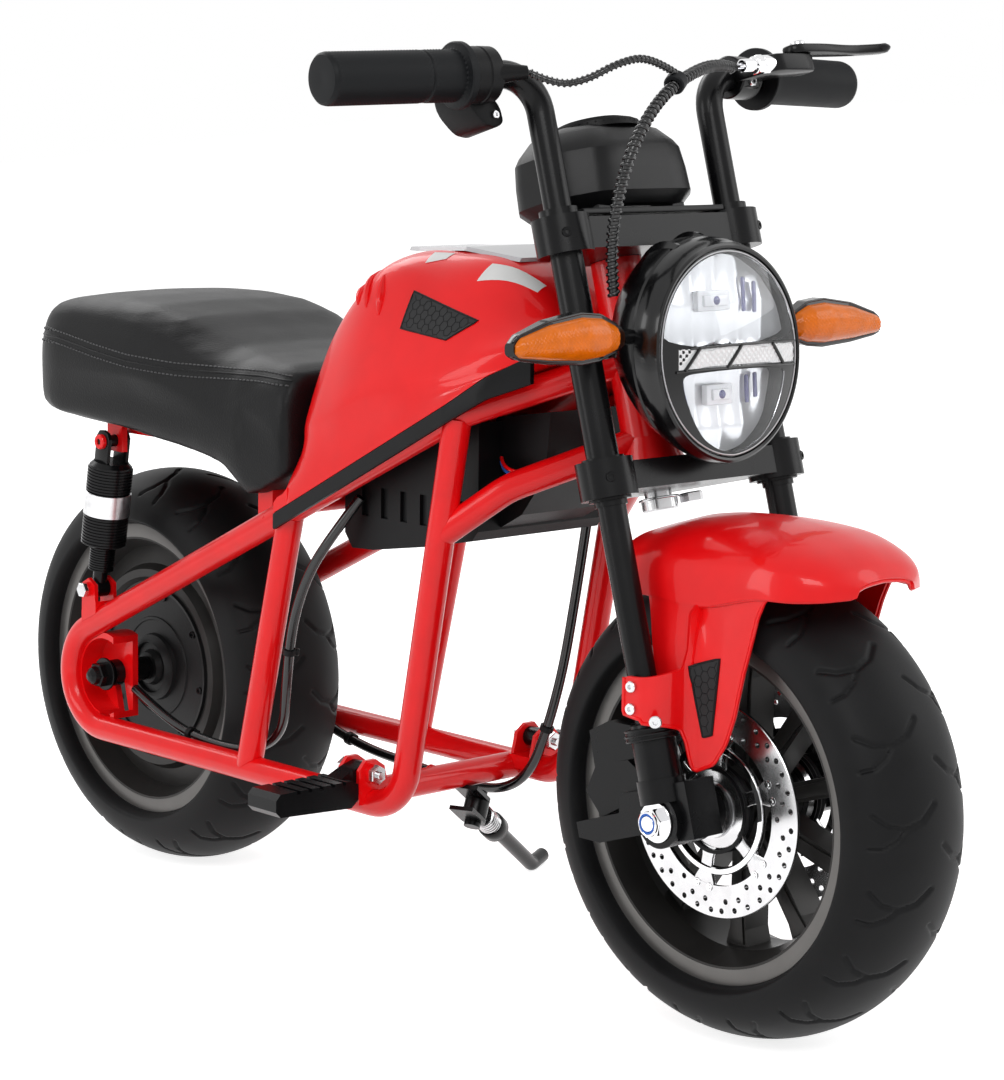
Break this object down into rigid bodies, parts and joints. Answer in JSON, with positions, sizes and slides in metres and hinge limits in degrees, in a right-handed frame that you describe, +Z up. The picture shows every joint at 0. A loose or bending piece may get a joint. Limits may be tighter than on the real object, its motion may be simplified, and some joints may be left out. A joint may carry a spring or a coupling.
{
  "type": "kids electric motorcycle",
  "caption": "Child-size electric motorcycle with hub motor, tubular frame, turning fork, spoked wheels, folding foot pegs and side stand.",
  "frame": {"origin": "on the floor, below the middle of the whole bike as it leans on its side stand", "axes": "+X to the rider's left, +Y to the rear, +Z up; the front wheel is at -Y"},
  "size_m": [0.477, 0.8988, 0.6386],
  "materials": {
    "red_paint": "gloss red frame paint",
    "red_plastic": "gloss red bodywork",
    "black_paint": "gloss black paint",
    "black_plastic": "moulded black plastic",
    "grey_plastic": "pale grey cover",
    "steel": "zinc plated steel",
    "black_vinyl": "stitched black vinyl",
    "grip_rubber": "moulded rubber",
    "lever_metal": "black lever",
    "clear_lens": "clear headlight lens",
    "amber_lens": "amber lens",
    "caliper_metal": "black caliper",
    "cable_black": "black cable sleeve",
    "tyre": "street tread rubber",
    "rim_paint": "dark grey casting",
    "disc_steel": "ground steel",
    "motor_alloy": "cast motor cover",
    "peg_metal": "black peg"
  },
  "bodies": {
    "frame": {"hoop_right": "red_paint", "hoop_left": "red_paint", "rear_struts": "red_paint", "cross_tubes": "red_paint", "head_tube": "red_paint", "head_braces": "red_paint", "dropouts": "red_paint", "rear_axle": "black_paint", "battery_case": "black_plastic", "tank": "red_plastic", "tank_top_plate": "grey_plastic", "tank_skirts": "black_plastic", "seat": "black_vinyl", "seat_rail": "red_paint", "shocks": "black_paint", "shock_mounts": "red_paint", "peg_brackets": "red_paint", "stand_bracket": "black_paint", "frame_cable_right": "cable_black", "frame_cable_left": "cable_black"},
    "steering": {"lower_clamp": "black_paint", "upper_clamp": "black_paint", "steering_stem": "steel", "fork_tubes": "black_paint", "fork_leg_right": "black_paint", "fork_leg_left": "black_paint", "front_axle": "steel", "handlebar": "black_paint", "grip_right": "grip_rubber", "grip_left": "grip_rubber", "throttle_housing": "black_plastic", "lever_perch": "black_plastic", "brake_lever": "lever_metal", "instrument_pod": "black_plastic", "headlight_shell": "black_plastic", "headlight_lens": "clear_lens", "turn_signals": "amber_lens", "front_fender": "red_plastic", "brake_calipers": "caliper_metal", "brake_cable": "cable_black", "throttle_lead": "cable_black"},
    "front_wheel": {"front_tyre": "tyre", "front_rim": "rim_paint", "brake_disc_right": "disc_steel", "brake_disc_left": "disc_steel"},
    "rear_wheel": {"rear_tyre": "tyre", "rear_rim": "rim_paint", "hub_motor": "motor_alloy"},
    "side_stand": {"side_stand": "black_paint"},
    "peg_right": {"peg_right": "peg_metal"},
    "peg_left": {"peg_left": "peg_metal"}
  },
  "joints": [
    {"name": "steering", "type": "hinge", "parent": "frame", "child": "steering", "pos_m": [-0.02344, -0.20886, 0.33673], "axis": [0.0838, 0.2756, 0.9576], "range_deg": [-30, 30]},
    {"name": "front_wheel_spin", "type": "hinge", "parent": "steering", "child": "front_wheel", "pos_m": [-0.03963, -0.2975, 0.15167], "axis": [-0.9962, 0, 0.0872], "continuous": true},
    {"name": "rear_wheel_spin", "type": "hinge", "parent": "frame", "child": "rear_wheel", "pos_m": [-0.03963, 0.2975, 0.15167], "axis": [-0.9962, 0, 0.0872], "continuous": true},
    {"name": "side_stand_fold", "type": "hinge", "parent": "frame", "child": "side_stand", "pos_m": [-0.0077, 0.003, 0.08062], "axis": [0.5422, 0.2101, 0.8136], "range_deg": [0, 68]},
    {"name": "peg_right_fold", "type": "hinge", "parent": "frame", "child": "peg_right", "pos_m": [-0.12496, -0.012, 0.14007], "axis": [0, 1, 0], "range_deg": [0, 75]},
    {"name": "peg_left_fold", "type": "hinge", "parent": "frame", "child": "peg_left", "pos_m": [0.0424, -0.012, 0.12542], "axis": [0, -1, 0], "range_deg": [0, 75]}
  ]
}
